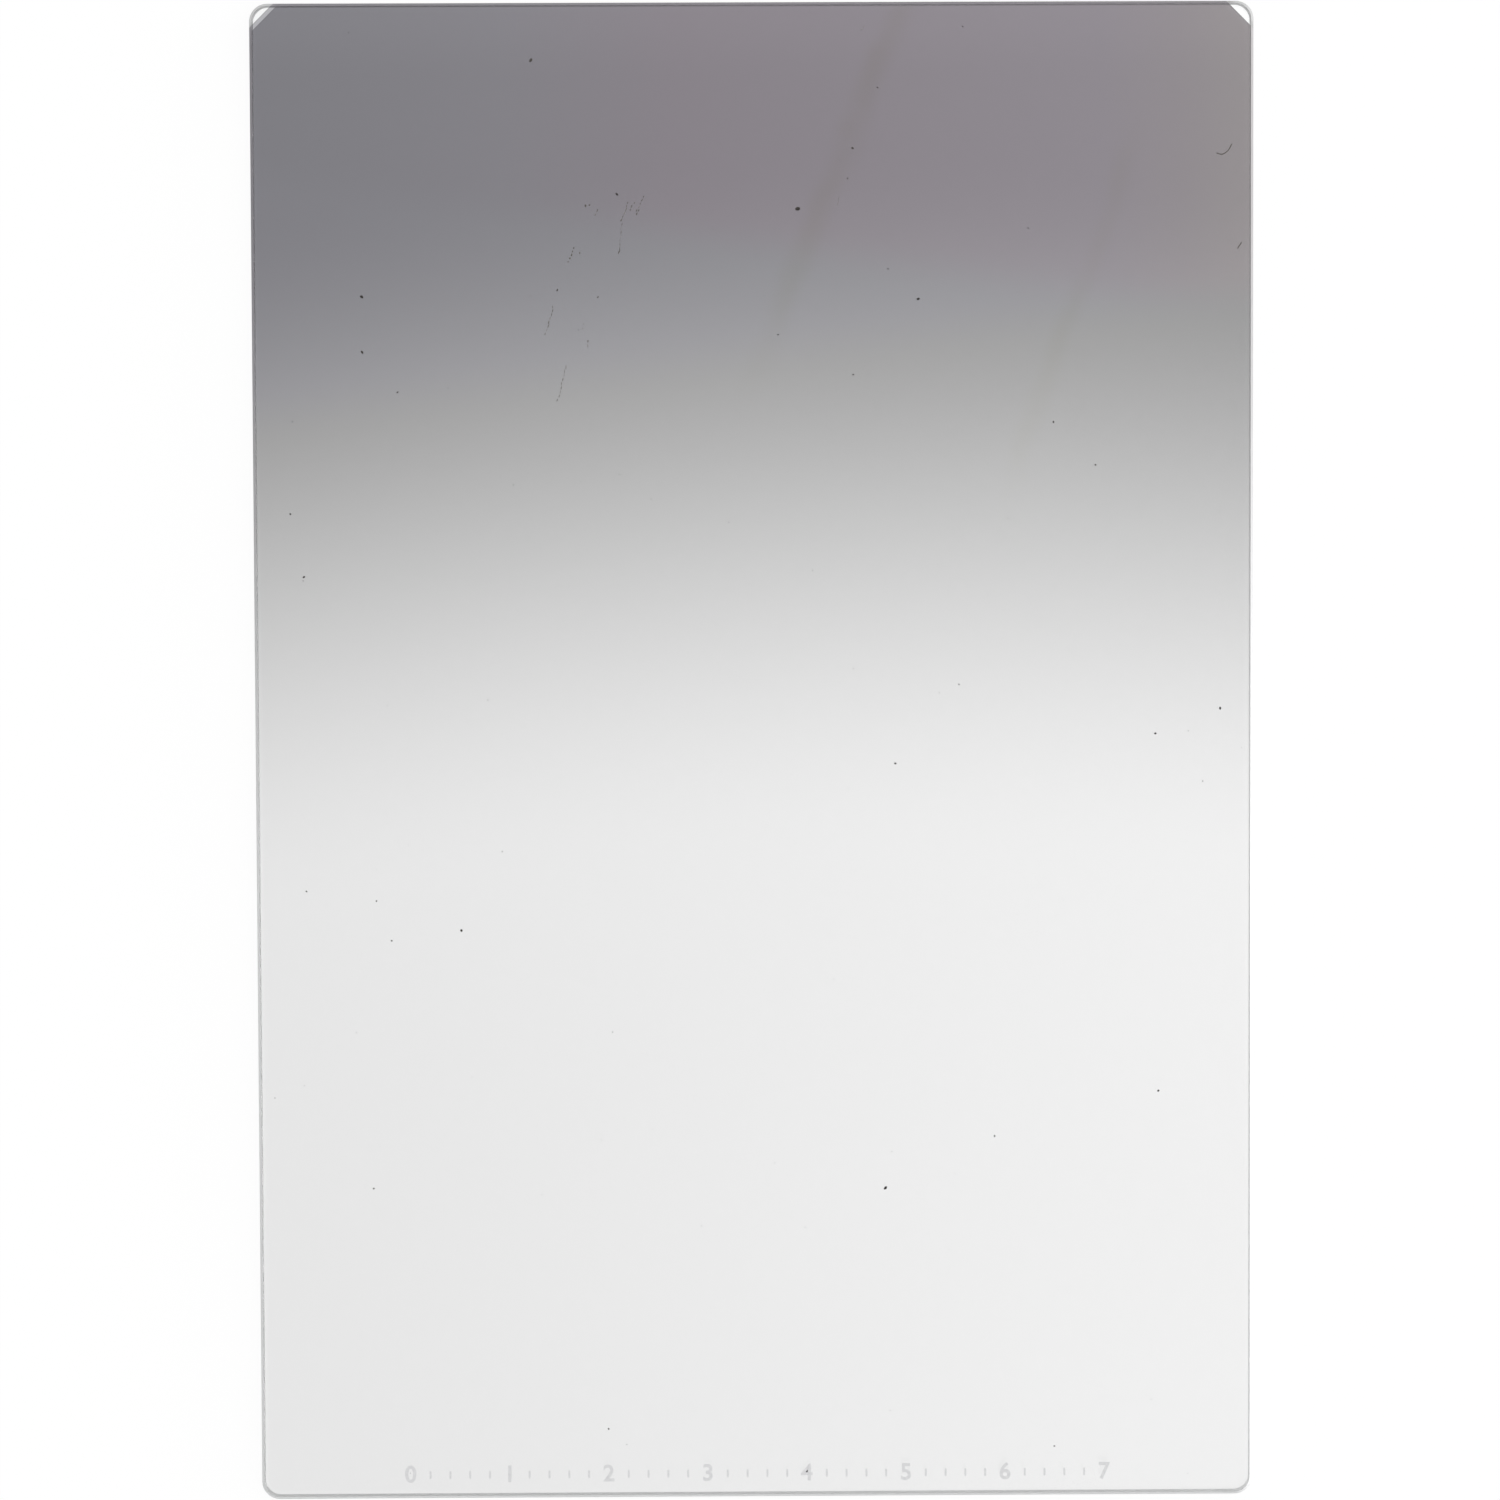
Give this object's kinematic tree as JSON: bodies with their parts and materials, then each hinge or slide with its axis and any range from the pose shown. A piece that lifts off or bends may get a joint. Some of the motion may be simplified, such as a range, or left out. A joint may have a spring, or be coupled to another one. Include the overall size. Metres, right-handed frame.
{
  "type": "graduated neutral density filter",
  "caption": "Flat rectangular pane of coated optical glass with rounded corners and ground bevels, grey at one end and fading to clear, that slides into the slots of a filter holder.",
  "frame": {"origin": "centre of the back face, which is the face that the pane lies on", "axes": "+Z out of the front face, +Y along the pane's length towards its grey end, +X across its width to the right as seen from the front with the grey end up"},
  "size_m": [0.1, 0.15, 0.002],
  "materials": {
    "coated_glass": "polished faces with a graduated grey coating, and a finely ground edge"
  },
  "bodies": {
    "root": {"filter_plate": "coated_glass"}
  },
  "joints": []
}
